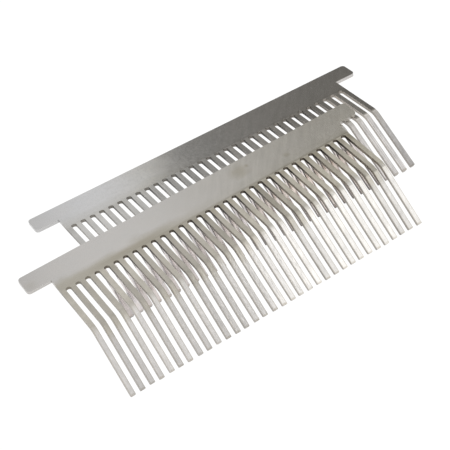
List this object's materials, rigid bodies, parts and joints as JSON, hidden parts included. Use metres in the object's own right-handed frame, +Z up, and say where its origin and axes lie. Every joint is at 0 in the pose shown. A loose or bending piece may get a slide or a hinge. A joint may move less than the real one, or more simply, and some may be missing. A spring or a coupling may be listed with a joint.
{
  "type": "comb attachment pair",
  "caption": "Two matching sheet-steel combs with eared back bars and rows of bent tines, one lying over the other.",
  "frame": {"origin": "middle of the pair's box in plan, on the surface that the combs stand on", "axes": "+X along the rear comb to its right end, tips towards -Y, +Z up"},
  "size_m": [0.117, 0.0626, 0.01],
  "materials": {
    "brushed_sheet": "satin, fine grain along the comb"
  },
  "bodies": {
    "rear_comb": {"rear_comb_back_bar": "brushed_sheet", "rear_comb_ears": "brushed_sheet", "rear_comb_tines": "brushed_sheet"},
    "front_comb": {"front_comb_back_bar": "brushed_sheet", "front_comb_ears": "brushed_sheet", "front_comb_tines": "brushed_sheet"}
  },
  "joints": [
    {"name": "front_comb_lift", "type": "slide", "parent": "rear_comb", "child": "front_comb", "axis": [0, 0, 1], "range_m": [0, 0.05]}
  ]
}
